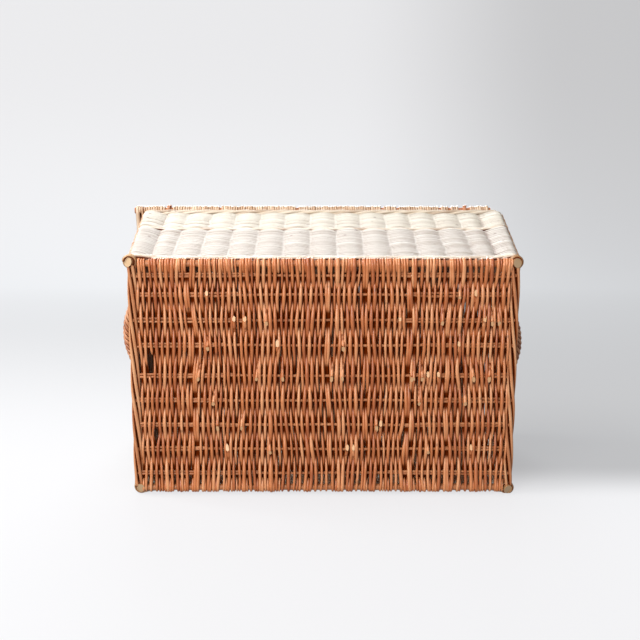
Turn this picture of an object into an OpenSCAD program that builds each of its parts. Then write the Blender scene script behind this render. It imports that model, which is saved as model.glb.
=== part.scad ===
// Lidded willow hamper in square work: a stick base, four slanted walls, a hinged lid and two rope handles.
// +Z is up, the origin is under the middle of the base, and the long side runs along X.

/* [Basket] */
// Length over the bottom, corner to corner
base_len = 540; // [440:5:640]
// Depth over the bottom, front to back
base_dep = 346; // [300:2:420]
// Height of the walls, from the post ends to the top of the border
wall_h = 300; // [260:5:360]
// How far each wall leans out between the bottom and the border
flare = 12; // [6:1:20]
// Thickness of the woven walls and base
weave_t = 9; // [8:0.5:11]
// Height of the base's underside over the post ends
base_clear = 3; // [2:0.5:5]

/* [Sticks] */
// Diameter of the corner posts
post_d = 13; // [11:0.5:14]
// Diameter of the thick sticks along the long edges of base and lid
edge_stick_d = 9.6; // [8:0.2:10]
// Diameter of the thin base and lid sticks
stick_d = 4.2; // [3.6:0.2:5]
// Number of base sticks, and of lid sticks
stick_count = 9; // [7:1:9]
// Distance of the first base stick from the front of the base
first_stick_in = 29; // [24:1:34]
// Distance of the last base stick from the back of the base
last_stick_in = 24; // [21:1:30]
// How much wider the gap behind the middle base stick is than the others
wide_gap = 8; // [0:1:12]
// How much narrower the last gap is than the others
last_gap_cut = 9; // [0:1:12]
// Diameter of the wall stakes
stake_d = 4.4; // [3.8:0.2:5]
// Distance between two stakes of a long wall
stake_pitch = 38.5; // [30:0.5:39]
// Stakes on each side of the middle of a long wall
half_stakes = 6; // [4:1:6]

/* [Wales and border] */
// Height of the foot wale
foot_wale_h = 13; // [10:1:16]
// Height of the middle wale
mid_wale_h = 12; // [10:1:16]
// Height of the middle wale's lower edge, as a share of the wall's height
mid_wale_at = 0.6; // [0.5:0.01:0.62]
// How far the wales stand out of the wall
wale_proud = 1.5; // [1:0.5:3]
// Height of the border round the rim
border_h = 13; // [10:1:16]
// Thickness of the border
border_t = 16; // [14:1:18]
// How far the border stands out of the wall
border_proud = 3; // [2:0.5:4]

/* [Lid] */
// Length of the lid
lid_len = 566; // [560:2:570]
// Sideways shift of the lid on its loose hinges
lid_shift = 16; // [0:1:17]
// Distance of the lid's edge sticks from the middle of the basket
lid_edge_y = 184; // [170:1:186]
// Gap between the border and the lid
lid_gap = 0.8; // [0.5:0.1:1.5]
// Opening angle at which the lid is drawn
lid_open = 0; // [0:1:105]
// Half the distance between the two hinge loops
hinge_x = 235; // [180:1:240]
// Distance of the point midway between the hinge loops from the middle of the basket
hinge_shift = 9; // [0:1:15]
// Diameter of the rod that a hinge loop is bent from
hinge_rod_d = 4; // [3:0.5:5]

/* [Handles] */
// Outer diameter of the twisted handle
handle_d = 13; // [11:0.5:15]
// Diameter of the handle's core rod
core_d = 6; // [4:0.5:7]
// Radius of the handle's arc
handle_r = 100; // [90:1:120]
// How far the handle stands out of the wall
handle_out = 33; // [31:1:40]
// Height of the handle, as a share of the wall's height
handle_at = 0.71; // [0.7:0.01:0.8]
// Distance of each handle from the middle of its wall
handle_shift = 8; // [0:1:15]

/* [Hidden] */

$fn = 48;
willow = "peru";
willow_light = "burlywood";
willow_dark = "sienna";
fit = 0.1; // clearance round a stick inside the weave
far = 2 * base_len;

lean = atan(flare / wall_h);
slope = wall_h / cos(lean);
post_inset = post_d / 2 + 0.5;
post_room = post_inset + post_d / 2 + fit;

// Walls are named by side: front is -Y, right is +X, back is +Y, left is -X.
FRONT = 0;
RIGHT = 90;
BACK = 180;
LEFT = 270;

// Heights measured up the slope of a wall
foot_lo = base_clear;
foot_hi = foot_lo + foot_wale_h;
mid_lo = mid_wale_at * slope;
mid_hi = mid_lo + mid_wale_h;
border_lo = slope - border_h;
stake_hi = slope - border_h / 2;
stake_in = weave_t / 2;
band_gap = 0.1;

base_z = base_clear + weave_t / 2;
edge_stick_cover = 2.5;
base_edge_y = base_dep / 2 - edge_stick_d / 2 - edge_stick_cover;
base_gaps = base_dep - first_stick_in - last_stick_in - wide_gap + last_gap_cut;
stick_pitch = base_gaps / (stick_count - 1);
stick_inset = stake_in + stake_d / 2 + 3 * fit;
foot_in = 12;
border_top = slope * cos(lean) + border_proud * sin(lean);
lid_z = border_top + lid_gap + edge_stick_d / 2;
hinge_play = 0.4;
hinge_r = edge_stick_d / 2 + hinge_play + hinge_rod_d / 2;
notch_middle = hinge_shift - lid_shift;
notch_half = hinge_rod_d / 2 + 2;
notch_depth = hinge_r + 6;
lid_weave_inset = 2;
lid_stick_pitch = 2 * lid_edge_y / (stick_count + 1);
lid_stick_inset = 4;
handle_centre = handle_out - handle_d / 2 - handle_r;
handle_buried_angle = 4;
handle_half_angle = acos(-handle_centre / handle_r) + handle_buried_angle;

function is_long(side) = side == FRONT || side == BACK;
function half_run(side) = (is_long(side) ? base_len : base_dep) / 2;
function half_offset(side) = (is_long(side) ? base_dep : base_len) / 2;
// The stakes of a long wall stand on its edge stick; those of a short wall reach down beside the base sticks.
function stake_lo(side) = is_long(side) ? base_z + edge_stick_d / 2 + 3 * fit : foot_lo + 2;
function stick_y(i) =
    first_stick_in - base_dep / 2 + stick_pitch * (i - 1)
        + (i > (stick_count + 1) / 2 ? wide_gap : 0)
        - (i == stick_count ? last_gap_cut : 0);
function lid_stick_y(i) = (i - (stick_count + 1) / 2) * lid_stick_pitch;
function stake_places(side) =
    is_long(side)
        ? [for (i = [-half_stakes : half_stakes]) i * stake_pitch]
        : [for (i = [1 : stick_count]) (side == RIGHT ? 1 : -1) * stick_y(i)];

// Places children in a wall's own frame: x along the wall, y up its slope, z out of its outer face.
module on_wall(side)
{
    rotate([0, 0, side])
        translate([0, -half_offset(side), 0])
            rotate([90 + lean, 0, 0])
                children();
}

// One straight band of a wall, its ends leaning out with the corner
module band(half, lo, hi, inner, outer)
{
    grow = sin(lean);
    translate([0, 0, -inner])
        linear_extrude(inner + outer)
            polygon([
                [-half - lo * grow, lo],
                [half + lo * grow, lo],
                [half + hi * grow, hi],
                [-half - hi * grow, hi]
            ]);
}

module x_stick(length, diameter, gap = 0)
{
    rotate([0, 90, 0])
        cylinder(h = length, d = diameter + 2 * gap, center = true);
}

// A corner post from the floor to the underside of the border
module corner_post(side_x, side_y, gap = 0)
{
    intersection() {
        translate([side_x * (base_len / 2 - post_inset), side_y * (base_dep / 2 - post_inset), 0])
            rotate([-side_y * lean, side_x * lean, 0])
                translate([0, 0, -post_d])
                    cylinder(h = border_lo + post_d - 2 * band_gap, d = post_d + 2 * gap);
        translate([-far, -far, -gap])
            cube([2 * far, 2 * far, 2 * far]);
    }
}

module all_posts(gap)
{
    for (side_x = [-1, 1])
        for (side_y = [-1, 1])
            corner_post(side_x, side_y, gap);
}

module base_edge_stick(side_y, gap = 0)
{
    translate([0, side_y * base_edge_y, base_z])
        x_stick(base_len - 2 * post_room, edge_stick_d, gap);
}

module base_stick(i, gap = 0)
{
    translate([0, stick_y(i), base_z])
        x_stick(base_len - 2 * stick_inset, stick_d, gap);
}

module base_weave()
{
    half_x = base_len / 2 - foot_in - fit;
    half_y = base_dep / 2 - foot_in - fit;
    color(willow)
        difference() {
            translate([-half_x, -half_y, base_clear])
                cube([2 * half_x, 2 * half_y, weave_t]);
            for (i = [1 : stick_count]) base_stick(i, fit);
            for (side_y = [-1, 1]) base_edge_stick(side_y, fit);
            all_posts(fit);
        }
}

// The stakes of one wall, each a straight rod inside the weave
module stakes(side, gap = 0)
{
    on_wall(side)
        for (x = stake_places(side))
            translate([x, stake_lo(side) - gap, -stake_in])
                rotate([-90, 0, 0])
                    cylinder(h = stake_hi - stake_lo(side) + 2 * gap, d = stake_d + 2 * gap);
}

// A wale or border band: long sides run past the corner, short sides fit between them.
module wale(side, lo, hi, inner, proud)
{
    half = is_long(side) ? half_run(side) + proud : half_run(side) - max(post_room, inner + fit);
    difference() {
        on_wall(side) band(half, lo, hi, inner, proud);
        stakes(side, fit);
        all_posts(fit);
    }
}

module foot_wale(side)
{
    color(willow_dark)
        difference() {
            wale(side, foot_lo, foot_hi, foot_in, wale_proud);
            for (side_y = [-1, 1]) base_edge_stick(side_y, fit);
            for (i = [1 : stick_count]) base_stick(i, fit);
        }
}

module mid_wale(side)
{
    color(willow_dark)
        wale(side, mid_lo, mid_hi, weave_t + wale_proud, wale_proud);
}

module rim_border(side)
{
    color(willow_dark)
        wale(side, border_lo, slope, border_t - border_proud, border_proud);
}

module wall_weave(side, lo, hi)
{
    color(willow_light)
        difference() {
            on_wall(side) band(half_run(side) - post_room, lo + band_gap, hi - band_gap, weave_t, 0);
            stakes(side, fit);
        }
}

module lower_weave(side) { wall_weave(side, foot_hi, mid_lo); }

module upper_weave(side) { wall_weave(side, mid_hi, border_lo); }

// Sweeps its child, a round section, along the arc of the handle on a short wall
module handle_arc(side)
{
    on_wall(side)
        translate([handle_shift, handle_at * slope, handle_centre])
            rotate([90, 0, 0])
                rotate([0, 0, 90 - handle_half_angle])
                    rotate_extrude(angle = 2 * handle_half_angle)
                        translate([handle_r, 0])
                            children();
}

module handle_core(side)
{
    color(willow_dark)
        handle_arc(side) circle(d = core_d);
}

// The rods twisted round the core, ending where they enter the wall
module handle_twist(side)
{
    color(willow)
        difference() {
            handle_arc(side)
                difference() {
                    circle(d = handle_d);
                    circle(d = core_d + 2 * fit);
                }
            on_wall(side)
                translate([-far / 2, 0, -far])
                    cube([far, slope, far + fit]);
        }
}

module hinge_loop(side_x)
{
    color(willow_dark)
        translate([hinge_shift + side_x * hinge_x, lid_edge_y, lid_z])
            rotate([0, 90, 0])
                rotate_extrude()
                    translate([hinge_r, 0])
                        circle(d = hinge_rod_d);
}

// Places the lid's pieces on its hinge line, opened by lid_open.
module on_lid()
{
    translate([lid_shift, lid_edge_y, lid_z])
        rotate([-lid_open, 0, 0])
            children();
}

module lid_edge_stick(side_y, gap = 0)
{
    on_lid()
        translate([0, (side_y - 1) * lid_edge_y, 0])
            x_stick(lid_len, edge_stick_d, gap);
}

module lid_stick(i, gap = 0)
{
    on_lid()
        translate([0, lid_stick_y(i) - lid_edge_y, 0])
            x_stick(lid_len - 2 * lid_stick_inset, stick_d, gap);
}

module lid_weave()
{
    color(willow_light)
        difference() {
            on_lid()
                translate([lid_weave_inset - lid_len / 2, -2 * lid_edge_y, -weave_t / 2])
                    cube([lid_len - 2 * lid_weave_inset, 2 * lid_edge_y, weave_t]);
            for (side_y = [-1, 1]) lid_edge_stick(side_y, fit);
            for (i = [1 : stick_count]) lid_stick(i, fit);
            on_lid()
                for (side_x = [-1, 1])
                    translate([notch_middle + side_x * hinge_x - notch_half, -notch_depth, -weave_t])
                        cube([2 * notch_half, 2 * notch_depth, 2 * weave_t]);
        }
}

color(willow_light) corner_post(-1, -1);  // corner_post_front_left
color(willow_light) corner_post(1, -1);  // corner_post_front_right
color(willow_light) corner_post(-1, 1);  // corner_post_back_left
color(willow_light) corner_post(1, 1);  // corner_post_back_right
color(willow_dark) base_edge_stick(-1);  // base_edge_stick_front
color(willow_dark) base_edge_stick(1);  // base_edge_stick_back
for (i = [1 : stick_count]) {
    color(willow_dark) base_stick(i);
    color(willow_dark) lid_stick(i);
}
base_weave();
foot_wale(FRONT);  // foot_wale_front
foot_wale(BACK);  // foot_wale_back
foot_wale(LEFT);  // foot_wale_left
foot_wale(RIGHT);  // foot_wale_right
color(willow) stakes(FRONT);  // stakes_front
color(willow) stakes(BACK);  // stakes_back
color(willow) stakes(LEFT);  // stakes_left
color(willow) stakes(RIGHT);  // stakes_right
lower_weave(FRONT);  // lower_weave_front
lower_weave(BACK);  // lower_weave_back
lower_weave(LEFT);  // lower_weave_left
lower_weave(RIGHT);  // lower_weave_right
mid_wale(FRONT);  // mid_wale_front
mid_wale(BACK);  // mid_wale_back
mid_wale(LEFT);  // mid_wale_left
mid_wale(RIGHT);  // mid_wale_right
upper_weave(FRONT);  // upper_weave_front
upper_weave(BACK);  // upper_weave_back
upper_weave(LEFT);  // upper_weave_left
upper_weave(RIGHT);  // upper_weave_right
rim_border(FRONT);  // rim_border_front
rim_border(BACK);  // rim_border_back
rim_border(LEFT);  // rim_border_left
rim_border(RIGHT);  // rim_border_right
handle_core(LEFT);  // handle_core_left
handle_core(RIGHT);  // handle_core_right
handle_twist(LEFT);  // handle_twist_left
handle_twist(RIGHT);  // handle_twist_right
hinge_loop(-1);  // hinge_loop_left
hinge_loop(1);  // hinge_loop_right
color(willow_dark) lid_edge_stick(-1);  // lid_edge_stick_front
color(willow_dark) lid_edge_stick(1);  // lid_edge_stick_back
lid_weave();
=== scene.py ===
"""Willow hamper: every rod of the weaving is modelled, around the CAD frame. Lengths are in metres."""

import math

import bpy
import numpy as np
from mathutils import Matrix, Vector


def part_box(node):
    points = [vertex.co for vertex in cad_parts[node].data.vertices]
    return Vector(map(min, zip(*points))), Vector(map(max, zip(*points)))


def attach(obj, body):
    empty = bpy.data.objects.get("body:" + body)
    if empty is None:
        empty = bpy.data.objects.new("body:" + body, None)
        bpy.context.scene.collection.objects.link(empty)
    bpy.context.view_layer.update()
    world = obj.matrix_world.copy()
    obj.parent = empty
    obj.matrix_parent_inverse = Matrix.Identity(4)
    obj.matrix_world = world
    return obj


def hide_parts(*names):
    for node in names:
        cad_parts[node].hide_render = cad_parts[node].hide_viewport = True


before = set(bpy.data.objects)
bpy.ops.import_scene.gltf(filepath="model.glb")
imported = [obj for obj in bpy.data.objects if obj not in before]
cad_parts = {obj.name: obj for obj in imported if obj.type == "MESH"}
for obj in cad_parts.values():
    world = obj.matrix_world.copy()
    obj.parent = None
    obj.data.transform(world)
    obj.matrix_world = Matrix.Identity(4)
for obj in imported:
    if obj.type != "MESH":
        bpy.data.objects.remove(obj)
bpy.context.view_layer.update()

MM = 0.001
TAU = 2 * math.pi
SIDES = 6                 # corners of a rod's section
POST_SIDES = 20           # corners of a corner post's section
ROUNDED_END = 0.6         # radius of a rod's rounded end, as a share

# Rod sizes
WEAVER_R = 2.35 * MM      # base and lid weavers
WALL_R = 2.4 * MM         # wall weavers
WALE_R = 2.2 * MM         # wales
BORDER_R = 2.6 * MM       # rods of the rolled border
HANDLE_R = 2.5 * MM       # rods twisted into a handle
SQUEEZE = 0.5 * MM        # how far crossing rods press into each other
WRAP_SQUEEZE = 1.4 * MM   # the same for weavers bent tightly round an edge stick
WALL_SQUEEZE = 2.1 * MM   # the same for the tightly beaten wall weavers and their stakes

CROSSING_OPEN = 0.8       # how far in view a rod's faces are where it crosses its neighbours

# Spacing
WEAVER_PITCH = 3.75 * MM  # from weaver to weaver in the base and the lid
ROW_PITCH = 3.55 * MM     # from row to row in the walls

# How uneven the weaving is
BASE_LOOSE = 1.0          # the base's share of the tucks, strays and spread below
LID_LOOSE = 0.3           # the lid's
REPEAT_CHANCE = 0.05      # that a weaver goes over the same sticks as the one before it
TUCK_CHANCE = 0.35        # that a weaver ends behind the last stick, short of the edge stick
WEAVER_STRAY = 0.32 * MM  # sideways, for a whole weaver
WEAVER_WANDER = 0.45 * MM  # sideways, along a weaver
WEAVER_SPREAD = 0.14      # of thickness, from rod to rod and from end to end
ROW_WANDER = 0.15 * MM
ROW_WAVE = 0.9 * MM       # slow rise and fall that a wall's rows share
ROW_SPREAD = 0.08
ROW_TAPER = 0.1


# ---------------------------------------------------------------- places taken from the frame

def centre(node):
    """Middle of a CAD node's box, as an array."""
    low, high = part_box(node)
    return (np.array(low) + np.array(high)) / 2


def size(node):
    """Lengths of a CAD node's box, as an array."""
    low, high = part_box(node)
    return np.array(high) - np.array(low)


POST_R = 6.5 * MM
STAKE_R = 2.2 * MM
STICK_R = size("base_stick_1")[2] / 2
EDGE_R = size("base_edge_stick_back")[2] / 2

post_low, post_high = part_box("corner_post_back_right")
FOOT_X = post_low.x + POST_R
FOOT_Y = post_low.y + POST_R
TOP_X = post_high.x - POST_R
TOP_Y = post_high.y - POST_R
POST_TOP = post_high.z
SURFACE_OUT = 2.5 * MM    # from the posts' axes out to the middle of the wall's thickness
WALL_HALF = 4.5 * MM      # half the wall's thickness
TWIST_R = 6.5 * MM        # radius of a handle's rods twisted together

FOOT_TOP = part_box("foot_wale_right")[1].z
MID_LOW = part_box("mid_wale_back")[0].z
MID_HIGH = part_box("mid_wale_back")[1].z
BORDER_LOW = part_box("rim_border_back")[0].z
BORDER_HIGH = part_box("rim_border_back")[1].z

SIDE_NAMES = ("front", "right", "back", "left")
SIDE_AXES = {              # along the wall, and out of it
    "front": (np.array((1.0, 0, 0)), np.array((0, -1.0, 0))),
    "right": (np.array((0, 1.0, 0)), np.array((1.0, 0, 0))),
    "back": (np.array((-1.0, 0, 0)), np.array((0, 1.0, 0))),
    "left": (np.array((0, -1.0, 0)), np.array((-1.0, 0, 0))),
}
UP = np.array((0, 0, 1.0))
LONG_STAKES = 13
STICKS = sum(name.startswith("base_stick_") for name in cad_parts)
STICK_ROWS = np.array([centre(f"base_stick_{i + 1}")[1] for i in range(STICKS)])
LID_ROWS = np.array([centre(f"lid_stick_{i + 1}")[1] for i in range(STICKS)])


def post_reach(side, z):
    """How far the posts' axes are from the middle: along the wall, and out of it."""
    share = z / POST_TOP
    x = FOOT_X + (TOP_X - FOOT_X) * share
    y = FOOT_Y + (TOP_Y - FOOT_Y) * share
    return (x, y) if side in ("front", "back") else (y, x)


def stake_places(side):
    """Places of a wall's stakes along the wall."""
    if side in ("front", "back"):
        low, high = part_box("stakes_" + side)
        half = (high.x - low.x) / 2 - STAKE_R
        return np.linspace(-half, half, LONG_STAKES)
    return STICK_ROWS if side == "right" else -STICK_ROWS[::-1]


# Stakes and corners are counted round the basket; these are the numbers of the corners.
FIRST_STOP = {
    "front": 0,
    "right": LONG_STAKES + 1,
    "back": LONG_STAKES + STICKS + 2,
    "left": 2 * LONG_STAKES + STICKS + 3,
}


# ---------------------------------------------------------------- rods

class Rods:
    """Collects round rods and turns them into one mesh."""

    def __init__(self, seed):
        self.random = np.random.default_rng(seed)
        self.verts, self.quads, self.caps = [], [], []
        self.tone, self.open, self.cut = [], [], []
        self.count = 0

    def add(self, path, radius, hint, exposed=None, tone=None, sides=SIDES, cut=False, round_ends=True,
            bevel=0.0):
        """Adds one rod along path. hint points out of the rod, and is never along it.

        exposed points to the side on which the rod is in plain view, and is shorter where it crosses
        between its neighbours, with both faces half in view.
        bevel is how oblique the first end's cut is, as the tangent of its angle.
        """
        path = np.asarray(path, float)
        n = len(path)
        radius = np.broadcast_to(np.asarray(radius, float), (n,)).copy()
        if round_ends:
            radius[[0, -1]] *= ROUNDED_END
        tangent = np.gradient(path, axis=0)
        tangent /= np.linalg.norm(tangent, axis=1)[:, None]
        hint = np.broadcast_to(np.asarray(hint, float), (n, 3))
        a = hint - (hint * tangent).sum(1)[:, None] * tangent
        a /= np.linalg.norm(a, axis=1)[:, None]
        b = np.cross(tangent, a)
        angle = np.arange(sides) * TAU / sides
        ring = np.cos(angle)[None, :, None] * a[:, None] + np.sin(angle)[None, :, None] * b[:, None]
        verts = path[:, None] + ring * radius[:, None, None]
        verts[0] += np.multiply.outer(np.cos(angle) * radius[0] * bevel, tangent[0])
        verts = verts.reshape(-1, 3)
        i, k = np.meshgrid(np.arange(n - 1), np.arange(sides), indexing="ij")
        here = i * sides + k
        beside = i * sides + (k + 1) % sides
        quads = np.stack([here, beside, beside + sides, here + sides], -1).reshape(-1, 4)
        tone = self.random.random() if tone is None else tone
        self.verts.append(verts)
        self.quads.append(quads + self.count)
        self.tone.append(np.full(len(verts), tone))
        # open holds how far each face is in view; the willow paints shade on the faces that are not
        if exposed is None:
            self.open.append(np.ones(len(verts)))
        else:
            exposed = np.broadcast_to(np.asarray(exposed, float), (n, 3))
            strength = np.linalg.norm(exposed, axis=1)[:, None]
            facing = (ring * exposed[:, None]).sum(-1)
            least_strength = 0.01      # so that nothing is divided by zero
            either_side = np.abs(facing) / np.maximum(strength, least_strength)
            self.open.append((facing + CROSSING_OPEN * (1 - strength) * either_side).ravel())
        self.cut.append(np.zeros(len(verts)))
        start = self.count
        self.count += len(verts)
        for ring_index, flip in ((0, True), (n - 1, False)):
            loop = start + ring_index * sides + np.arange(sides)
            if cut:
                rim = verts[ring_index * sides:(ring_index + 1) * sides]
                self.verts.append(rim)
                self.tone.append(np.full(sides, tone))
                self.open.append(np.ones(sides))
                self.cut.append(np.ones(sides))
                loop = self.count + np.arange(sides)
                self.count += sides
            self.caps.append(loop[::-1] if flip else loop)

    def build(self, name, material):
        """One mesh object of all the rods."""
        verts = np.concatenate(self.verts)
        quads = np.concatenate(self.quads)
        loops = np.concatenate([quads.ravel(), *self.caps]).astype(np.int32)
        sizes = np.concatenate([np.full(len(quads), 4), [len(c) for c in self.caps]])
        mesh = bpy.data.meshes.new(name)
        mesh.vertices.add(len(verts))
        mesh.vertices.foreach_set("co", verts.astype(np.float32).ravel())
        mesh.loops.add(len(loops))
        mesh.loops.foreach_set("vertex_index", loops)
        mesh.polygons.add(len(sizes))
        starts = np.concatenate([[0], np.cumsum(sizes)[:-1]]).astype(np.int32)
        mesh.polygons.foreach_set("loop_start", starts)
        smooth = np.concatenate([np.ones(len(quads), bool), np.zeros(len(self.caps), bool)])
        mesh.polygons.foreach_set("use_smooth", smooth)
        mesh.update(calc_edges=True)
        mesh.validate()
        for key, parts in (("tone", self.tone), ("open", self.open), ("cut", self.cut)):
            layer = mesh.attributes.new(key, "FLOAT", "POINT")
            layer.data.foreach_set("value", np.concatenate(parts).astype(np.float32))
        mesh.materials.append(material)
        piece = bpy.data.objects.new(name, mesh)
        bpy.context.scene.collection.objects.link(piece)
        return piece


def place(piece, body, slot, *nodes):
    """Says which body a piece rides on and hides the CAD nodes that it stands for; slot, its finish, is not
    used.
    """
    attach(piece, body)
    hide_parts(*nodes)


def ease(share):
    """A smooth way from 0 to 1."""
    return (1 - np.cos(np.pi * share)) / 2


def wave(stops, heights, samples):
    """A line that swings smoothly from height to height at its stops: places along, and heights."""
    share = np.arange(samples) / samples
    places = stops[:-1, None] + np.diff(stops)[:, None] * share
    swing = heights[:-1, None] + np.diff(heights)[:, None] * ease(share)
    return np.append(places.ravel(), stops[-1]), np.append(swing.ravel(), heights[-1])


def smooth_noise(random, places, wavelength, amplitude):
    """Slow random wandering along a rod: two waves, the second shorter and smaller."""
    total = np.zeros_like(places)
    for octave in (1, 2.3):
        phase = random.uniform(0, TAU)
        total += np.sin(places * TAU * octave / wavelength + phase) * amplitude / octave
    return total


# ---------------------------------------------------------------- materials

def shader_nodes(name):
    """A new material, its node tree and its main shader."""
    material = bpy.data.materials.new(name)
    material.use_nodes = True
    tree = material.node_tree
    return material, tree, tree.nodes["Principled BSDF"]


def node(tree, kind, **settings):
    """A new shader node with its settings."""
    made = tree.nodes.new(kind)
    for key, value in settings.items():
        setattr(made, key, value)
    return made


def ramp(tree, stops):
    """A colour ramp through stops: places and colours."""
    made = tree.nodes.new("ShaderNodeValToRGB")
    elements = made.color_ramp.elements
    middle = 0.5
    while len(elements) < len(stops):
        elements.new(middle)
    for element, (place_at, colour) in zip(elements, stops):
        element.position = place_at
        element.color = (*colour, 1)
    return made


def map_range(tree, source, from_min, from_max, to_min, to_max, smooth=False):
    """A Map Range node fed by a socket; returns its result socket."""
    made = node(tree, "ShaderNodeMapRange", interpolation_type="SMOOTHSTEP" if smooth else "LINEAR")
    limits = (("From Min", from_min), ("From Max", from_max), ("To Min", to_min), ("To Max", to_max))
    for key, value in limits:
        made.inputs[key].default_value = value
    tree.links.new(source, made.inputs["Value"])
    return made.outputs["Result"]


def noise(tree, vector, scale, detail):
    """A noise texture's value."""
    made = node(tree, "ShaderNodeTexNoise")
    made.inputs["Scale"].default_value = scale
    made.inputs["Detail"].default_value = detail
    tree.links.new(vector, made.inputs["Vector"])
    return made.outputs["Fac"]


def attribute(tree, name):
    """The value that the rods' mesh holds under a name."""
    return node(tree, "ShaderNodeAttribute", attribute_name=name).outputs["Fac"]


def add_values(tree, first, second):
    """The sum of two sockets, kept from 0 to 1."""
    made = node(tree, "ShaderNodeMath", operation="ADD", use_clamp=True)
    tree.links.new(first, made.inputs[0])
    tree.links.new(second, made.inputs[1])
    return made.outputs[0]


def blend(tree, factor, base, over):
    """Mixes two colours; each is a socket or a fixed colour."""
    made = node(tree, "ShaderNodeMix", data_type="RGBA")
    tree.links.new(factor, made.inputs["Factor"])
    for socket, colour in (("A", base), ("B", over)):
        if isinstance(colour, tuple):
            made.inputs[socket].default_value = (*colour, 1)
        else:
            tree.links.new(colour, made.inputs[socket])
    return made.outputs["Result"]


CREVICE_SHADE = (0.15, 0.020, 0.001)    # painted shade between the rods, where they dive behind their neighbours
CUT_END = (0.84, 0.47, 0.225)     # pith of a cut rod
KNOT = (0.16, 0.06, 0.02)
MOTTLE_SCALE = 45                 # patches in a metre
GRAIN_SCALE = 900
KNOT_SCALE = 42
KNOT_STRENGTH = 0.55
TONE_RANGE = (0.14, 0.86)         # of a rod's own tone, from dark to light
PLAIN_TONE_RANGE = (0.45, 0.55)   # the same for the sticks that stay CAD pieces
MOTTLE_TONE = 0.16                # how far mottling and grain shift the tone either way
GRAIN_TONE = 0.12
OPEN_RANGE = (-0.35, 0.65)        # from all painted shade to all willow
ROUGHNESS_SPREAD = 0.18
BUMP_STRENGTH = 0.35
BUMP_DEPTH = 0.4 * MM


def willow(name, dark, mid, light, woven=True, cut_end=CUT_END, gloss=0.5, rough=0.32):
    """Stripped willow: each rod has a tone of its own, mottled, with small knots.

    Woven rods get painted shade, with less gloss, where they dive between their neighbours.
    """
    material, tree, shader = shader_nodes(name)
    link = tree.links.new
    place_in = node(tree, "ShaderNodeTexCoord").outputs["Object"]
    mottle = noise(tree, place_in, MOTTLE_SCALE, 3)
    grain = noise(tree, place_in, GRAIN_SCALE, 2)
    tone = map_range(tree, mottle, 0.3, 0.7, -MOTTLE_TONE, MOTTLE_TONE)
    if woven:
        rod_tone = map_range(tree, attribute(tree, "tone"), 0, 1, *TONE_RANGE)
    else:
        rod_tone = map_range(tree, mottle, 0, 1, *PLAIN_TONE_RANGE)
    total = add_values(tree, rod_tone, tone)
    total = add_values(tree, total, map_range(tree, grain, 0, 1, -GRAIN_TONE, GRAIN_TONE))
    colours = ramp(tree, [(0.0, dark), (0.5, mid), (1.0, light)])
    link(total, colours.inputs["Fac"])
    knots = node(tree, "ShaderNodeTexVoronoi")
    knots.inputs["Scale"].default_value = KNOT_SCALE
    link(place_in, knots.inputs["Vector"])
    knot_mask = map_range(tree, knots.outputs["Distance"], 0.05, 0.14, KNOT_STRENGTH, 0)
    final = blend(tree, knot_mask, colours.outputs["Color"], KNOT)
    if woven:
        # painted shade: faces that dive between the neighbours darken toward the shade colour and lose their
        # gloss
        in_view = map_range(tree, attribute(tree, "open"), *OPEN_RANGE, 0, 1, smooth=True)
        final = blend(tree, in_view, CREVICE_SHADE, final)
        final = blend(tree, attribute(tree, "cut"), final, cut_end)
        link(map_range(tree, in_view, 0, 1, 0, gloss), shader.inputs["Specular IOR Level"])
    link(final, shader.inputs["Base Color"])
    link(map_range(tree, mottle, 0, 1, rough, rough + ROUGHNESS_SPREAD), shader.inputs["Roughness"])
    bump = node(tree, "ShaderNodeBump")
    bump.inputs["Strength"].default_value = BUMP_STRENGTH
    bump.inputs["Distance"].default_value = BUMP_DEPTH
    link(grain, bump.inputs["Height"])
    link(bump.outputs["Normal"], shader.inputs["Normal"])
    return material


BASE_WILLOW = willow("willow_base", (0.40, 0.088, 0.018), (0.67, 0.219, 0.068), (0.89, 0.415, 0.19),
                     gloss=0.9)
WALL_WILLOW = willow("willow_wall", (0.46, 0.22, 0.11), (0.61, 0.36, 0.205), (0.75, 0.51, 0.34), gloss=0.8)
# The back wall's copies are painted paler than the other walls: a painted highlight for the glare on the back
# wall, its upper band paler and yellower still.
BACK_GLARE_WILLOW = willow("willow_back_painted_glare", (0.475, 0.40, 0.335), (0.57, 0.51, 0.45), (0.67, 0.625, 0.565),
                     gloss=1.0, rough=0.52)
FOOT_WILLOW = willow("willow_foot", (0.42, 0.13, 0.045), (0.66, 0.28, 0.12), (0.84, 0.45, 0.23))
BACK_UPPER_GLARE_WILLOW = willow("willow_back_upper_painted_glare", (0.56, 0.48, 0.39), (0.66, 0.60, 0.50), (0.75, 0.70, 0.60),
                         gloss=1.0, rough=0.52)
# The lid: its own willow, painted paler than the walls in part as a painted highlight for the glare on its
# edge.
LID_WILLOW = willow("willow_lid", (0.50, 0.29, 0.16), (0.66, 0.45, 0.29), (0.79, 0.62, 0.45), gloss=0.8)
# Wales and border: painted paler than the walls, a painted highlight that stands in for the glare on them.
GLARE_WALE_WILLOW = willow("willow_wale_painted_glare", (0.50, 0.36, 0.25), (0.64, 0.52, 0.39), (0.76, 0.66, 0.53),
                          gloss=0.9, rough=0.45)
HANDLE_WILLOW = willow("willow_handle", (0.36, 0.11, 0.04), (0.60, 0.26, 0.12), (0.80, 0.44, 0.24), gloss=0.9)
STICK_WILLOW = willow("willow_stick", (0.34, 0.10, 0.03), (0.50, 0.18, 0.065), (0.66, 0.28, 0.12),
                      woven=False)
ROD_STICK_WILLOW = willow("willow_base_stick", (0.36, 0.11, 0.035), (0.56, 0.20, 0.075), (0.72, 0.31, 0.13))
POST_WILLOW = willow("willow_post", (0.34, 0.16, 0.06), (0.50, 0.28, 0.13), (0.66, 0.42, 0.22),
                     cut_end=(0.55, 0.37, 0.21))


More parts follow.
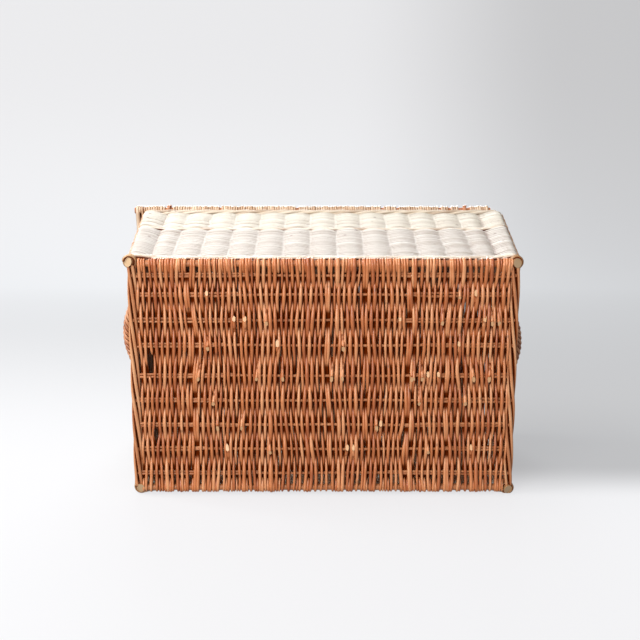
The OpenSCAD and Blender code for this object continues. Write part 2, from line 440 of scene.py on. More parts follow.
# ---------------------------------------------------------------- flat panels: base and lid

class Panel:
    """A flat woven panel. u runs across the weavers, v along them, and w out of the seen face."""

    def __init__(self, origin, out):
        self.origin = np.array(origin)
        self.u = np.array((1.0, 0, 0))
        self.v = np.array((0, 1.0, 0))
        self.w = np.array((0, 0, float(out)))

    def points(self, u, v, w):
        return (self.origin + np.multiply.outer(u, self.u) + np.multiply.outer(v, self.v)
                + np.multiply.outer(w, self.w))


SLOT_COUNT = 45           # small openings between the base's weavers
SLOT_PUSH = (0.4, 1.2)    # in millimetres, from the narrowest to the widest
SLOT_LENGTH = (10, 24)    # the same
PUSH_REACH = 3.8 * MM     # how far sideways an opening pushes the weavers
PUSH_SCALE = 1.4


def slots(random, count, half_u, half_v):
    """Random places where two weavers are pushed apart: u, v, push, length."""
    return np.stack([
        random.uniform(-half_u, half_u, count),
        random.uniform(-half_v, half_v, count),
        random.uniform(*SLOT_PUSH, count) * MM,
        random.uniform(*SLOT_LENGTH, count) * MM,
    ], 1)


def pushed(u, v, places):
    """Sideways shift of weavers at u, v beside the slots."""
    shift = np.zeros_like(u)
    for slot_u, slot_v, push, length in places:
        near = np.exp(-((u - slot_u) / PUSH_REACH) ** 2 / 2 - ((v - slot_v) / length) ** 2 / 2)
        shift += push * np.clip((u - slot_u) / PUSH_REACH, -1, 1) * near * PUSH_SCALE
    return shift


def bump_at(u, v, middle_u, middle_v, reach_u, reach_v):
    """A smooth bump of height 1."""
    return np.exp(-((u - middle_u) / reach_u) ** 2 - ((v - middle_v) / reach_v) ** 2)


# The widest openings in the base, where weavers are pushed far apart: u, v, push, length
BASE_OPENINGS = (
    (247 * MM, 19 * MM, 1.6 * MM, 12 * MM),
    (-116 * MM, 84 * MM, 2.7 * MM, 20 * MM),
    (40 * MM, 30 * MM, 2.4 * MM, 22 * MM),
    (62 * MM, 18 * MM, 1.9 * MM, 14 * MM),
    (112 * MM, -70 * MM, 1.9 * MM, 10 * MM),
    (-115 * MM, -90 * MM, 2.2 * MM, 14 * MM),
    (240 * MM, -84 * MM, 3.2 * MM, 8 * MM),
    (-196 * MM, 10 * MM, 1.8 * MM, 10 * MM),
    (150 * MM, 118 * MM, 1.9 * MM, 12 * MM),
)

# Where two of the base's weavers are broken away: u, how far to each side of it, and from v to v
BROKEN = (247 * MM, 3.9 * MM, 4 * MM, 33 * MM)

# Where neighbouring weavers bow sideways together: how far in millimetres, then u, v and the reach in u and v
BOWS = (
    (-2.5, (0.26, 0.0, 0.03, 0.05)),
    (-6, (0.20, 0.05, 0.05, 0.06)),
    (-4, (0.26, -0.07, 0.02, 0.06)),
    (3, (-0.22, 0.05, 0.05, 0.07)),
    (-4, (0.02, -0.13, 0.05, 0.05)),
)


# Slow waves that the weavers share: how far in millimetres, turn along v and along u, and the start
SWAYS = ((1.1, 19, 31, 1.0), (0.8, 47, -57, 0.4))


def leaning(u, v):
    """Slow shared lean of neighbouring weavers, and the places where they bow together."""
    sway = sum(height * np.sin(v * per_v + u * per_u + start) for height, per_v, per_u, start in SWAYS)
    bow = sum(height * bump_at(u, v, *place_at) for height, place_at in BOWS)
    return (sway + bow) * MM


def rod_profile(level):
    """Share of a rod's full radius: squeezed slimmer where it crosses between its neighbours."""
    crossing, swell = 0.83, 0.19
    return crossing + swell * np.abs(level)


def round_edge_stick(height, steps=9):
    """A weaver's way round an edge stick: places outward from its axis, heights, and the exposed direction.

    A weaver that passes over the last stick also passes over the edge stick. The others come round it
    from behind and tuck in again before the last stick.
    """
    wrap = EDGE_R + WEAVER_R - WRAP_SQUEEZE
    if height > 0:
        angle = np.radians(np.linspace(90, -120, steps))
        return wrap * np.cos(angle), wrap * np.sin(angle), np.cos(angle), np.sin(angle)
    angle = np.radians(np.linspace(-90, 80, steps))
    q, w = wrap * np.cos(angle), wrap * np.sin(angle)
    tuck = np.array((0.3, 0.6, 0.85, 1.0))
    tuck_end_q, tuck_end_w = -13.5 * MM, -0.5 * MM
    q = np.append(q, q[-1] + (tuck_end_q - q[-1]) * tuck)
    w = np.append(w, w[-1] + (tuck_end_w - w[-1]) * tuck ** 1.8)
    return q, w, np.append(np.cos(angle), 0 * tuck), np.append(np.sin(angle), 1 - 0.9 * tuck)


def weave_panel(rods, panel, half_u, sticks, edge, loose, gaps, keep=lambda u, end: True, end_thick=1.0,
                broken=None):
    """Weavers across a row of sticks, wrapped round the edge sticks at -edge and +edge.

    loose is how far they stray from even spacing, gaps are the places where they are pushed apart, and
    end_thick is how much thicker the outermost ones are. broken is where weavers are broken away.
    """
    random = rods.random
    samples = 7
    count = int(round(2 * half_u / WEAVER_PITCH))
    over = STICK_R + WEAVER_R - SQUEEZE
    wrap = EDGE_R + WEAVER_R - WRAP_SQUEEZE
    sign = 1
    for u0 in np.linspace(-half_u, half_u, count):
        if random.random() > REPEAT_CHANCE:
            sign = -sign
        heights = sign * over * (-1.0) ** np.arange(len(sticks))
        first, last = np.sign(heights[0]), np.sign(heights[-1])
        stops = np.concatenate([[-edge], sticks, [edge]])
        v, w = wave(stops, np.concatenate([[first * wrap], heights, [last * wrap]]), samples)
        exposed_v, exposed_w = np.zeros_like(w), np.clip(w / over, -1, 1)
        level = exposed_w
        for end, height in ((0, heights[0]), (1, heights[-1])):
            tucked = height < 0 and random.random() < TUCK_CHANCE * loose
            if tucked or not keep(u0, end):
                cut = slice(samples, None) if end == 0 else slice(None, -samples)
                v, w, level = v[cut], w[cut], level[cut]
                exposed_v, exposed_w = exposed_v[cut], exposed_w[cut]
                continue
            q, bent_w, bent_ev, bent_ew = (part[1:] for part in round_edge_stick(height))
            if end == 0:
                v = np.concatenate([(-edge - q)[::-1], v])
                w = np.concatenate([bent_w[::-1], w])
                exposed_v = np.concatenate([-bent_ev[::-1], exposed_v])
                exposed_w = np.concatenate([bent_ew[::-1], exposed_w])
                level = np.concatenate([np.zeros(len(q)), level])
            else:
                v = np.concatenate([v, edge + q])
                w = np.concatenate([w, bent_w])
                exposed_v = np.concatenate([exposed_v, bent_ev])
                exposed_w = np.concatenate([exposed_w, bent_ew])
                level = np.concatenate([level, np.zeros(len(q))])
        u = np.full_like(v, u0)
        u += loose * (random.normal(0, WEAVER_STRAY) + smooth_noise(random, v, 0.1, WEAVER_WANDER))
        u += leaning(u, v) + pushed(u, v, gaps)
        thick = WEAVER_R * random.normal(1, WEAVER_SPREAD * loose)
        if abs(u0) == half_u:
            thick *= end_thick
        taper = 1 + WEAVER_SPREAD * random.choice((-1, 1)) * v / edge
        exposed = np.multiply.outer(exposed_v, panel.v) + np.multiply.outer(exposed_w, panel.w)
        points = panel.points(u, v, w)
        radius = thick * taper * rod_profile(level)
        if broken and abs(u0 - broken[0]) < broken[1]:
            near, far = v < broken[2], v > broken[3]
            rods.add(points[near], radius[near], panel.u, exposed[near])
            rods.add(points[far], radius[far], panel.u, exposed[far], tone=0.5)
        else:
            rods.add(points, radius, panel.u, exposed)


def cut_tips(rods, panel, count, half_u, sticks):
    """Ends of rods, cut off on the seen side where they pass a stick."""
    random = rods.random
    past_stick = 3.5 * MM
    top = STICK_R + 1.85 * WEAVER_R
    for _ in range(count):
        stick = random.choice(sticks[1:-1])
        toward = random.choice((-1, 1), p=(0.7, 0.3))
        length = random.uniform(22, 32) * MM
        u0 = random.uniform(-half_u, half_u)
        share = np.linspace(0, 1, 9)
        v = stick + toward * (past_stick - length * (1 - share))
        w = -WEAVER_R + (top + WEAVER_R) * ease(share)
        u = u0 + leaning(np.full_like(v, u0), v) + (share - 0.5) * random.uniform(-3, 3) * MM
        thick = WEAVER_R * random.uniform(0.85, 1.15)
        exposed = np.multiply.outer(share * 2 - 1, panel.w)
        rods.add(panel.points(u, v, w)[::-1], thick, panel.w, exposed[::-1], tone=random.uniform(0.3, 0.9),
                 cut=True, round_ends=False, bevel=random.uniform(1.4, 2.4))


BASE_END = 2.5 * MM       # from the CAD slab's end out to the base's outermost weaver
LID_END = 3.2 * MM        # from the CAD slab's end in to the lid's outermost weaver
LID_END_THICK = 1.6       # how much thicker the lid's outermost weavers are
LOOP_ROOM = 6.2 * MM      # free of weavers, to each side of a hinge loop's middle
BASE_TIPS = 40            # cut ends of rods
LID_TIPS = 30
TIP_MARGIN = 8 * MM       # from a panel's end to the nearest cut end of a rod


def make_base():
    """The base's weavers, seen from below."""
    rods = Rods(11)
    panel = Panel((0, 0, centre("base_weave")[2]), -1)
    half_u = size("base_weave")[0] / 2 + BASE_END
    edge = centre("base_edge_stick_back")[1]
    gaps = [*slots(rods.random, SLOT_COUNT, half_u, edge), *BASE_OPENINGS]
    weave_panel(rods, panel, half_u, STICK_ROWS, edge, BASE_LOOSE, gaps, broken=BROKEN)
    cut_tips(rods, panel, BASE_TIPS, half_u - TIP_MARGIN, STICK_ROWS)
    place(rods.build("base_weave_rods", BASE_WILLOW), "basket", "base_willow", "base_weave")


def make_base_sticks():
    """Each base stick is one long rod, with a shorter one beside it toward each end."""
    rods = Rods(17)
    random = rods.random
    half = size("base_stick_1")[0] / 2
    z0 = centre("base_stick_1")[2]
    long_shift, short_shift = 1.7 * MM, 2.1 * MM
    short_r = STICK_R * 0.86
    parting = 30 * MM         # over which the long rod makes room for the short one
    for y0 in STICK_ROWS:
        x = np.linspace(-half, half, 60)
        side = random.choice((-1, 1))
        inner = random.uniform(0.08, 0.17)
        apart = np.clip((np.abs(x) - inner) / parting, 0, 1)
        y = y0 - side * long_shift * ease(apart) + smooth_noise(random, x, 0.3, 0.4 * MM)
        rods.add(np.column_stack([x, y, np.full_like(x, z0)]), STICK_R, UP, cut=True, round_ends=False)
        for end in (-1, 1):
            x = end * np.linspace(inner, half - random.uniform(0, 5) * MM, 24)
            y = y0 + side * short_shift + smooth_noise(random, x, 0.3, 0.3 * MM)
            rods.add(np.column_stack([x, y, np.full_like(x, z0)]), short_r, UP, cut=True, round_ends=False)
    nodes = [f"base_stick_{i + 1}" for i in range(STICKS)]
    place(rods.build("base_stick_rods", ROD_STICK_WILLOW), "basket", "stick_willow", *nodes)


def make_lid():
    """The lid's weavers, seen from above, with room for the hinge loops at the back."""
    rods = Rods(23)
    mid = centre("lid_weave")
    panel = Panel((mid[0], 0, centre("lid_edge_stick_back")[2]), 1)
    half_u = size("lid_weave")[0] / 2 - LID_END
    edge = centre("lid_edge_stick_back")[1]
    loops = [centre("hinge_loop_" + s)[0] - mid[0] for s in ("left", "right")]

    def keep(u, end):
        return end == 0 or all(abs(u - x) > LOOP_ROOM for x in loops)

    weave_panel(rods, panel, half_u, LID_ROWS, edge, LID_LOOSE, [], keep, LID_END_THICK)
    cut_tips(rods, panel, LID_TIPS, half_u - TIP_MARGIN, LID_ROWS)
    place(rods.build("lid_weave_rods", LID_WILLOW), "lid", "lid_willow", "lid_weave")


# ---------------------------------------------------------------- walls

def corner_turn(middle, sign, reach, outside):
    """A rod's way over or behind a corner post, up to the corner's diagonal: places along, and out."""
    diagonal = 45
    turn = np.radians(np.linspace(12, diagonal, 4) if outside else (20, diagonal))
    reach = reach if outside else -reach
    return middle + sign * reach * np.sin(turn), -SURFACE_OUT + reach * np.cos(turn)


def wall_run(side, z, heights_at, samples, over, post_over):
    """One rod along a wall, from the corner's diagonal to the next corner's.

    heights_at(stop) is 1 or -1: outside or inside the stop, counted round the basket.
    Returns places along the wall, places out of the middle of the basket, the stop numbers along the
    rod, and its level: 1 where it lies outside, -1 where it lies behind.
    """
    along_reach, out_reach = post_reach(side, z)
    stops = np.concatenate([[-along_reach], stake_places(side), [along_reach]])
    numbers = FIRST_STOP[side] + np.arange(len(stops))
    out = over * np.array([heights_at(n) for n in numbers], float)
    for end in (0, -1):
        out[end] = -SURFACE_OUT + post_over * np.sign(out[end])
    s, w = wave(stops, out, samples)
    number = np.interp(s, stops, numbers)
    for end, sign in ((0, -1), (-1, 1)):
        outside = out[end] > 0
        if not outside:
            kept = s * sign < stops[end] * sign - post_over * 0.5
            s, w, number = s[kept], w[kept], number[kept]
        extra_s, extra_w = corner_turn(stops[end], sign, post_over, outside)
        extra_number = np.full(len(extra_s), number[end])
        if end == 0:
            s, w, number = (np.concatenate([b[::-1], a])
                            for a, b in ((s, extra_s), (w, extra_w), (number, extra_number)))
        else:
            s, w, number = (np.concatenate([a, b])
                            for a, b in ((s, extra_s), (w, extra_w), (number, extra_number)))
    return s, w + out_reach + SURFACE_OUT, number, np.clip(w / over, -1, 1)


def wall_points(side, s, out, z):
    """Points at places along a wall, out of the basket's middle, and up."""
    axis, outward = SIDE_AXES[side]
    return np.multiply.outer(s, axis) + np.multiply.outer(out, outward) + np.multiply.outer(z, UP)


def add_wall_rod(rods, side, run, z, thick):
    """Adds a rod that lies along a wall, squeezed slimmer where it crosses its neighbours."""
    s, out, _, level = run
    exposed = np.multiply.outer(level, SIDE_AXES[side][1])
    rods.add(wall_points(side, s, out, z), thick * rod_profile(level), UP, exposed)


def make_wall_band(band, side, low, high, seed):
    """Rows of single weavers over and under the stakes of one wall."""
    rods = Rods(seed)
    random = rods.random
    rows = int(round((high - low) / ROW_PITCH))
    over = STAKE_R + WALL_R - WALL_SQUEEZE
    post_over = POST_R + WALL_R - SQUEEZE
    samples = 7
    for row in range(rows):
        z0 = low + (row + 0.5) * (high - low) / rows
        run = wall_run(side, z0, lambda n: 1 if (n + row) % 2 else -1, samples, over, post_over)
        s = run[0]
        z = z0 + smooth_noise(random, s, 0.16, ROW_WANDER) + ROW_WAVE * np.sin(s * 12 + z0 * 4)
        taper = 1 + ROW_TAPER * random.choice((-1, 1)) * s / abs(s).max()
        add_wall_rod(rods, side, run, z, WALL_R * random.normal(1, ROW_SPREAD) * taper)
    name = f"{band}_rods_{side}"
    # the back wall gets the paler copies of the willow, a painted highlight for the glare on it
    back_glare_willow = BACK_UPPER_GLARE_WILLOW if band == "upper_weave" else BACK_GLARE_WILLOW
    willow_here = back_glare_willow if side == "back" else WALL_WILLOW
    place(rods.build(name, willow_here), "basket", "wall_willow", f"{band}_{side}")


def wale_round(rods, side, z0, radius, rise):
    """One round of a three-rod wale: each rod goes over two stakes and behind one, rising as it goes."""
    over = STAKE_R + radius - WALL_SQUEEZE
    post_over = POST_R + radius - SQUEEZE
    samples = 8
    for rod in range(3):
        run = wall_run(side, z0, lambda n: -1 if (n + rod) % 3 == 2 else 1, samples, over, post_over)
        phase = (run[2] + rod) % 3
        z = z0 + rise * np.interp(phase, (0, 1, 2, 3), (-1, 1, 0, -1))
        add_wall_rod(rods, side, run, z, radius * rods.random.normal(1.08, 0.05))


def foot_rope(rods, side):
    """Rods twisted into a flat rope along the foot of a short wall, from post to post."""
    strands = 4
    lead = 240 * MM
    radius = 2.6 * MM
    low, high = (np.array(corner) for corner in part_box("foot_wale_" + side))
    outward = SIDE_AXES[side][1]
    past_slab, outer = 4 * MM, 1.4 * MM
    half = (high[1] - low[1]) / 2 + past_slab
    middle_out = np.abs(low + high)[0] / 2 + outer
    swing_out, swing_up = 4.4 * MM, 2.9 * MM
    foot = 2 * MM
    s = np.linspace(-half, half, 110)
    for k in range(strands):
        turn = s / lead * TAU + k * TAU / strands + smooth_noise(rods.random, s, 0.2, 0.1)
        out = middle_out + swing_out * np.sin(turn)
        z = foot + radius + swing_up * (1 - np.cos(turn))
        exposed = np.multiply.outer(-np.cos(turn), UP) + np.multiply.outer(np.sin(turn), outward)
        points = wall_points(side, s, out, z)
        rods.add(points, radius * rods.random.normal(1, 0.06), UP, exposed)


def make_mid_wale():
    """Two rounds of slimmer rods round the middle of the walls."""
    rods = Rods(31)
    rounds = 2
    radius = WALE_R * 0.82
    height = (MID_HIGH - MID_LOW) / rounds
    for side in SIDE_NAMES:
        for turn in range(rounds):
            wale_round(rods, side, MID_LOW + (turn + 0.5) * height, radius, height / 4)
    nodes = [f"mid_wale_{s}" for s in SIDE_NAMES]
    place(rods.build("mid_wale_rods", GLARE_WALE_WILLOW), "basket", "wale_willow", *nodes)


FOOT_ROUND_TOP = FOOT_TOP + 3.6 * MM      # middle of the upper round of the foot wale
FOOT_ROUND_RISE = 1.7 * MM
LOWEST_ROW = FOOT_TOP + 7.2 * MM          # where the rows of the walls begin


def foot_rounds(rods, side, drop):
    """Two rounds of the foot wale, the lower one a drop below the other."""
    wale_round(rods, side, FOOT_ROUND_TOP, WALE_R, FOOT_ROUND_RISE)
    wale_round(rods, side, FOOT_ROUND_TOP - drop, WALE_R, FOOT_ROUND_RISE)


def make_foot_wales():
    """The foot wales; on the short walls a rope of rods covers the ends of the base's sticks."""
    rods = Rods(37)
    for side in ("front", "back"):
        foot_rounds(rods, side, drop=4.6 * MM)
    # the long walls' foot wales are painted pale: a painted highlight where the back wall meets the base's
    # edge in the glare
    place(rods.build("foot_wale_rods_long", GLARE_WALE_WILLOW), "basket", "wale_willow",
          "foot_wale_front", "foot_wale_back")
    rods = Rods(38)
    for side in ("left", "right"):
        foot_rounds(rods, side, drop=6.4 * MM)
        foot_rope(rods, side)
    place(rods.build("foot_wale_rods_short", FOOT_WILLOW), "basket", "wale_willow",
          "foot_wale_left", "foot_wale_right")


def rounded_loop(half_x, half_y, corner, step):
    """Points and outward directions round a rectangle with round corners, anticlockwise."""
    points, normals = [], []
    middles = ((1, -1, -90), (1, 1, 0), (-1, 1, 90), (-1, -1, 180))
    for index, (side_x, side_y, start) in enumerate(middles):
        middle = np.array((side_x * (half_x - corner), side_y * (half_y - corner)))
        turn = np.radians(np.linspace(start, start + 90, 9))
        normal = np.stack([np.cos(turn), np.sin(turn)], 1)
        points.append(middle + corner * normal)
        normals.append(normal)
        following = middles[(index + 1) % 4]
        target = np.array((following[0] * (half_x - corner), following[1] * (half_y - corner)))
        begin = points[-1][-1]
        finish = target + corner * normal[-1]
        count = int(np.linalg.norm(finish - begin) / step)
        share = np.linspace(0, 1, count + 2)[1:-1, None]
        points.append(begin + (finish - begin) * share)
        normals.append(np.repeat(normal[-1:], count, 0))
    return np.concatenate(points), np.concatenate(normals)


def make_border():
    """The rolled border: rods twisted into a rope that covers the stakes' tops."""
    rods = Rods(41)
    z0 = (BORDER_LOW + BORDER_HIGH) / 2
    past_wall = 0.6 * MM
    half_x = TOP_X + SURFACE_OUT + past_wall
    half_y = TOP_Y + SURFACE_OUT + past_wall
    points, normals = rounded_loop(half_x, half_y, corner=9 * MM, step=3.2 * MM)
    points = np.concatenate([points, points[:1]])
    normals = np.concatenate([normals, normals[:1]])
    length = np.concatenate([[0], np.cumsum(np.linalg.norm(np.diff(points, axis=0), axis=1))])
    strands = 5
    lead = 150 * MM
    turns = round(length[-1] / lead)
    twist_r = 3.9 * MM
    swing_out, swing_up = twist_r + 0.6 * MM, twist_r * 0.85
    for k in range(strands):
        angle = length / length[-1] * TAU * turns + k * TAU / strands
        out = np.cos(angle) * swing_out
        z = z0 + np.sin(angle) * swing_up
        flat = points + normals * out[:, None]
        path = np.column_stack([flat, z])
        hint = np.column_stack([normals * np.cos(angle)[:, None], np.sin(angle)])
        rods.add(path, BORDER_R, hint)
    nodes = [f"rim_border_{s}" for s in SIDE_NAMES]
    place(rods.build("rim_border_rods", GLARE_WALE_WILLOW), "basket", "wale_willow", *nodes)


# ---------------------------------------------------------------- posts, handles, hinges

POST_SPLAY = {             # how far each post's foot is bent outward
    "back_right": 8 * MM,
    "back_left": 5 * MM,
    "front_right": 1 * MM,
    "front_left": 5 * MM,
}


def add_corner_strand(rods, post_path):
    """A rod wound round a post just above its foot."""
    radius, squeeze = 2.1 * MM, 0.6 * MM
    turns, low, high, steps = 2.4, 7 * MM, 16 * MM, 50
    turn = np.linspace(0, turns * TAU, steps)
    z = np.linspace(low, high, steps)
    x = np.interp(z, post_path[:, 2], post_path[:, 0])
    y = np.interp(z, post_path[:, 2], post_path[:, 1])
    outward = np.column_stack([np.cos(turn), np.sin(turn), np.zeros_like(turn)])
    middle = np.column_stack([x, y, z])
    rods.add(middle + outward * (POST_R + radius - squeeze), radius, outward, outward)


def make_posts():
    """Corner posts, splayed at the foot and cut off obliquely there."""
    for x_name, side_x in (("left", -1), ("right", 1)):
        for y_name, side_y in (("front", -1), ("back", 1)):
            rods = Rods(50 + side_x + 2 * side_y)
            bevel, foot_gap, past_top, thinning = 0.45, 0.3 * MM, 4 * MM, 0.06
            share = np.linspace(0, 1, 40) ** 1.6
            z = (bevel * POST_R + foot_gap) * (1 - share) + share * (POST_TOP + past_top)
            splay = np.exp(-share * 14) * POST_SPLAY[f"{y_name}_{x_name}"]
            x = FOOT_X + (TOP_X - FOOT_X) * share + splay
            y = FOOT_Y + (TOP_Y - FOOT_Y) * share + splay * 0.3
            wobble = smooth_noise(rods.random, z, 0.2, 0.5 * MM)
            path = np.column_stack([side_x * (x + wobble), side_y * (y - wobble), z])
            rods.add(path, POST_R * (1 - thinning * share), np.array((side_x, side_y, 0.2)),
                     sides=POST_SIDES, cut=True, round_ends=False, bevel=bevel)
            add_corner_strand(rods, path)
            name = f"corner_post_{y_name}_{x_name}"
            place(rods.build(name + "_rod", POST_WILLOW), "basket", "post_willow", name)


def handle_frame(side):
    """Middle of a handle's chord on its wall, the directions along and out of it, and the reach out."""
    low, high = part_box("handle_twist_" + side)
    axis, outward = SIDE_AXES[side]
    middle = (np.array(low) + np.array(high)) / 2
    out_reach = post_reach(side, middle[2])[1]
    wall_out = out_reach + SURFACE_OUT + WALL_HALF
    foot = middle * (1 - abs(outward)) + outward * wall_out
    reach = size("handle_twist_" + side)[0] - TWIST_R
    return foot, axis, outward, reach


def make_handle(side, seed):
    """Four rods twisted round a handle's core, their ends driven into the wall."""
    foot, axis, outward, reach = handle_frame(side)
    arc_r = 100 * MM
    half = math.acos(1 - reach / arc_r) + math.radians(7)
    angle = np.linspace(-half, half, 90)
    centre_out = reach - arc_r
    line = foot + np.multiply.outer(arc_r * np.sin(angle), axis) \
        + np.multiply.outer(arc_r * np.cos(angle) + centre_out, outward)
    radial = np.multiply.outer(np.sin(angle), axis) + np.multiply.outer(np.cos(angle), outward)
    length = arc_r * (angle + half)
    rods = Rods(seed)
    strands, lead = 4, 32 * MM
    twist_r = TWIST_R - HANDLE_R
    for k in range(strands):
        turn = length / lead * TAU + k * TAU / strands
        hint = radial * np.cos(turn)[:, None] + np.multiply.outer(np.sin(turn), UP)
        rods.add(line + hint * twist_r, HANDLE_R * rods.random.normal(1, 0.04), hint, hint)
    place(rods.build(f"handle_twist_{side}_rods", HANDLE_WILLOW), "basket", "handle_willow",
          f"handle_twist_{side}")


def make_hinge(side, seed):
    """A rod wound twice round the lid's back edge stick."""
    rods = Rods(seed)
    middle = centre("hinge_loop_" + side)
    radius, inset, spread = 1.5 * MM, 1.6 * MM, 4.4 * MM
    ring = size("hinge_loop_" + side)[1] / 2 - inset
    turns = np.linspace(0, TAU * 2, 60)
    share = turns / turns[-1]
    path = np.column_stack([
        middle[0] + (share - 0.5) * spread,
        middle[1] + ring * np.cos(turns),
        middle[2] + ring * np.sin(turns),
    ])
    rods.add(path, radius, (1.0, 0, 0))
    place(rods.build(f"hinge_loop_{side}_rod", HANDLE_WILLOW), "basket", "hinge_willow", "hinge_loop_" + side)


# ---------------------------------------------------------------- stage, lights, camera

FLOOR_LEAN = math.atan(12 / 300)      # lean of the front wall, which lies on the floor
LYING_FOOT_Y = -0.173                 # foot of the front wall
FILM_WIDTH = 36                       # in mm, as Blender has it
LENS = 75.9375                        # focal length in mm
FAR_CLIP = 60
CAMERA_AT = (-0.0126, -1.845, 0.683)  # in the lying frame: right, away, up
CAMERA_TURN = (13.0, 0.23, 0.07)      # pitch, yaw and roll in degrees
MIDDLE = (0, 0.12, 0.17)              # of the basket, in the lying frame
LIGHTS = (                            # name, place, target, width, power and colour
    ("key", (-1.3, -0.1, 1.85), MIDDLE, 1.2, 33, (1, 0.99, 0.98)),
    ("fill", (-1.0, -2.25, 1.1), MIDDLE, 1.7, 54, (1, 0.985, 0.965)),
    ("sheen", (-0.2, 3.3, 1.1), (0, 0.15, 0.34), 2.1, 165, (0.87, 0.94, 1)),
    ("backdrop", (-1.9, 0.7, 1.7), (-0.4, 2.6, 1.0), 1.0, 22, (1, 1, 1)),
)
WORLD_COLOUR = (0.96, 0.97, 1.0)
WORLD_STRENGTH = 0.34


def from_lying(x, away, up):
    """A point given as seen with the basket lying on its front wall: right, away from the camera, up."""
    c, s = math.cos(FLOOR_LEAN), math.sin(FLOOR_LEAN)
    return Vector((-x, LYING_FOOT_Y - s * away + c * up, c * away + s * up))


def lying_rotation(pitch, yaw, roll):
    """Turns a camera by angles given in the lying frame."""
    c, s = math.cos(FLOOR_LEAN), math.sin(FLOOR_LEAN)
    lying = Matrix(((-1, 0, 0), (0, -s, c), (0, c, s)))
    fwd = Vector((math.sin(yaw) * math.cos(pitch), math.cos(yaw) * math.cos(pitch), -math.sin(pitch)))
    right = Vector((math.cos(yaw), -math.sin(yaw), 0))
    up = right.cross(fwd)
    right2 = math.cos(roll) * right + math.sin(roll) * up
    up2 = -math.sin(roll) * right + math.cos(roll) * up
    axes = Matrix((lying @ right2, lying @ up2, -(lying @ fwd))).transposed()
    return axes.to_4x4()


def make_camera():
    """The camera at the photo's place."""
    data = bpy.data.cameras.new("camera")
    camera = bpy.data.objects.new("camera", data)
    bpy.context.scene.collection.objects.link(camera)
    data.sensor_width = FILM_WIDTH
    data.lens = LENS
    data.clip_end = FAR_CLIP
    turn = lying_rotation(*(math.radians(angle) for angle in CAMERA_TURN))
    camera.matrix_world = Matrix.Translation(from_lying(*CAMERA_AT)) @ turn
    bpy.context.scene.camera = camera


def area_light(name, place_at, target, width, power, colour):
    """A round soft light turned to its target."""
    data = bpy.data.lights.new(name, "AREA")
    data.shape = "DISK"
    data.size = width
    data.energy = power
    data.color = colour
    light = bpy.data.objects.new(name, data)
    light.location = place_at
    light.rotation_mode = "QUATERNION"
    light.rotation_quaternion = (Vector(target) - Vector(place_at)).to_track_quat("-Z", "Y")
    bpy.context.scene.collection.objects.link(light)


def one_sided(name, colour, glow):
    """A matt stage surface that can't be seen from behind, lifted by a light of its own."""
    material, tree, shader = shader_nodes(name)
    shader.inputs["Base Color"].default_value = (*colour, 1)
    shader.inputs["Roughness"].default_value = 1.0
    shader.inputs["Specular IOR Level"].default_value = 0.0
    shader.inputs["Emission Color"].default_value = (*glow, 1)
    shader.inputs["Emission Strength"].default_value = 1.0
    geometry = node(tree, "ShaderNodeNewGeometry")
    clear = node(tree, "ShaderNodeBsdfTransparent")
    mix = node(tree, "ShaderNodeMixShader")
    output = tree.nodes["Material Output"]
    tree.links.new(geometry.outputs["Backfacing"], mix.inputs[0])
    tree.links.new(shader.outputs[0], mix.inputs[1])
    tree.links.new(clear.outputs[0], mix.inputs[2])
    tree.links.new(mix.outputs[0], output.inputs["Surface"])
    return material


def grey(value):
    """A faintly cool grey."""
    return (value, value, value * 1.02)


def shade_sweep(material):
    """Sets the sweep's own light: even in front, and dimmer to the right and just behind the basket."""
    tree = material.node_tree
    place_in = node(tree, "ShaderNodeTexCoord").outputs["Object"]
    parts = node(tree, "ShaderNodeSeparateXYZ")
    tree.links.new(place_in, parts.inputs[0])
    left, away = parts.outputs["X"], parts.outputs["Z"]
    right_glow = blend(tree, map_range(tree, away, -0.02, 0.14, 0, 1, smooth=True), grey(0.73), grey(0.40))
    left_glow = blend(tree, map_range(tree, away, 0.1, 1.2, 0, 1, smooth=True), grey(0.73), grey(0.52))
    near_glow = blend(tree, map_range(tree, left, -0.35, 0.4, 0, 1, smooth=True), right_glow, left_glow)
    far_glow = blend(tree, map_range(tree, left, -0.8, -0.05, 0, 1, smooth=True), grey(0.47), grey(0.68))
    glow = blend(tree, map_range(tree, away, 1.3, 2.4, 0, 1, smooth=True), near_glow, far_glow)
    tree.links.new(glow, tree.nodes["Principled BSDF"].inputs["Emission Color"])


def stage_sheet(name, rows, material):
    """A smooth sheet through rows of two corner points each, seen only from its front."""
    verts = [v for row in rows for v in row]
    faces = [(2 * i, 2 * i + 1, 2 * i + 3, 2 * i + 2) for i in range(len(rows) - 1)]
    mesh = bpy.data.meshes.new(name)
    mesh.from_pydata(verts, [], faces)
    mesh.polygons.foreach_set("use_smooth", [True] * len(faces))
    mesh.update()
    sheet = bpy.data.objects.new(name, mesh)
    bpy.context.scene.collection.objects.link(sheet)
    mesh.materials.append(material)
    sheet.visible_shadow = False
    sheet.visible_diffuse = False
    sheet.visible_glossy = False
    sheet.visible_transmission = False


FLOOR_DROP = 2.6 * MM     # from the foot of the front wall down to the floor that it lies on
FLOOR_SLOPE = -0.015      # the floor falls away to the lid's edge, the lowest thing at the far end


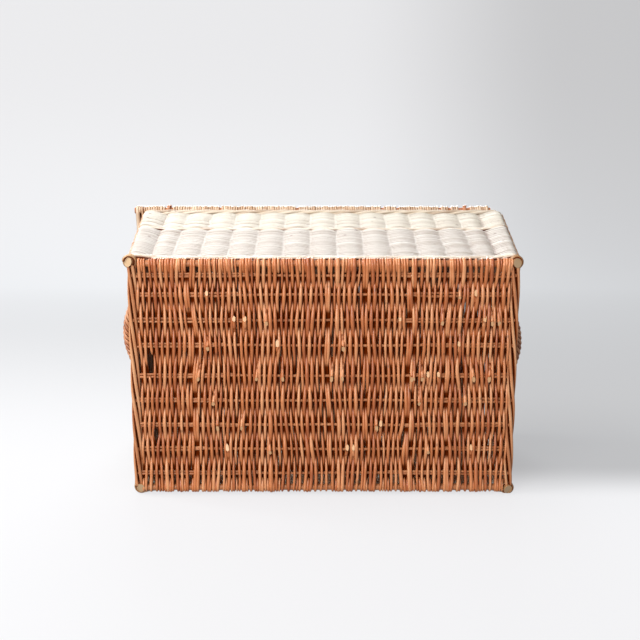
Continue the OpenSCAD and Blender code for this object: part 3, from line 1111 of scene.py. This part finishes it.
def make_stage():
    """A pale sweep under the lying basket, and a pale floor under the upright one."""
    sweep = one_sided("sweep", (0.15, 0.15, 0.15), (0.7, 0.7, 0.7))
    shade_sweep(sweep)
    pale = one_sided("pale_floor", (0.36, 0.36, 0.36), (0.3, 0.3, 0.305))
    half, near_end, top = 3.0, -2.2, 4.0
    bend_at, bend_r = 1.6, 1.0
    profile = [(near_end, 0.0)]
    for degrees in range(0, 91, 6):
        turn = math.radians(degrees)
        profile.append((bend_at + bend_r * math.sin(turn), bend_r * (1 - math.cos(turn))))
    profile.append((bend_at + bend_r, top))
    rows = []
    for away, rise in profile:
        up = rise - FLOOR_DROP + FLOOR_SLOPE * min(away, bend_at)
        rows.append((from_lying(-half, away, up), from_lying(half, away, up)))
    stage_sheet("lying_floor", rows, sweep)
    reach, below = 9.0, -0.5 * MM
    floor_rows = [((-reach, y, below), (reach, y, below)) for y in (-reach, reach)]
    stage_sheet("upright_floor", floor_rows, pale)


def make_lights():
    """The lights, and the faint light from everywhere."""
    world = bpy.data.worlds.new("studio")
    bpy.context.scene.world = world
    world.use_nodes = True
    background = world.node_tree.nodes["Background"]
    background.inputs["Color"].default_value = (*WORLD_COLOUR, 1)
    background.inputs["Strength"].default_value = WORLD_STRENGTH
    for name, place_at, target, width, power, colour in LIGHTS:
        area_light(name, from_lying(*place_at), from_lying(*target), width, power, colour)


# ---------------------------------------------------------------- the build

def dress_cad_nodes():
    """Gives the CAD sticks and stakes that stay their willow."""
    for name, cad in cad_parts.items():
        kept = name.startswith(("base_edge_stick", "lid_edge_stick", "lid_stick", "stakes", "handle_core"))
        if kept:
            cad.data.materials.clear()
            cad.data.materials.append(STICK_WILLOW)
            cad.data.polygons.foreach_set("use_smooth", [True] * len(cad.data.polygons))


def main():
    bpy.context.scene.view_settings.view_transform = "Standard"
    make_camera()
    make_base()
    make_base_sticks()
    make_lid()
    for number, side in enumerate(SIDE_NAMES):
        make_wall_band("lower_weave", side, LOWEST_ROW, MID_LOW, 60 + number)
        make_wall_band("upper_weave", side, MID_HIGH, BORDER_LOW, 70 + number)
    make_mid_wale()
    make_foot_wales()
    make_border()
    make_posts()
    for number, side in enumerate(("left", "right")):
        make_handle(side, 80 + number)
        make_hinge(side, 90 + number)
    dress_cad_nodes()
    make_stage()
    make_lights()


main()
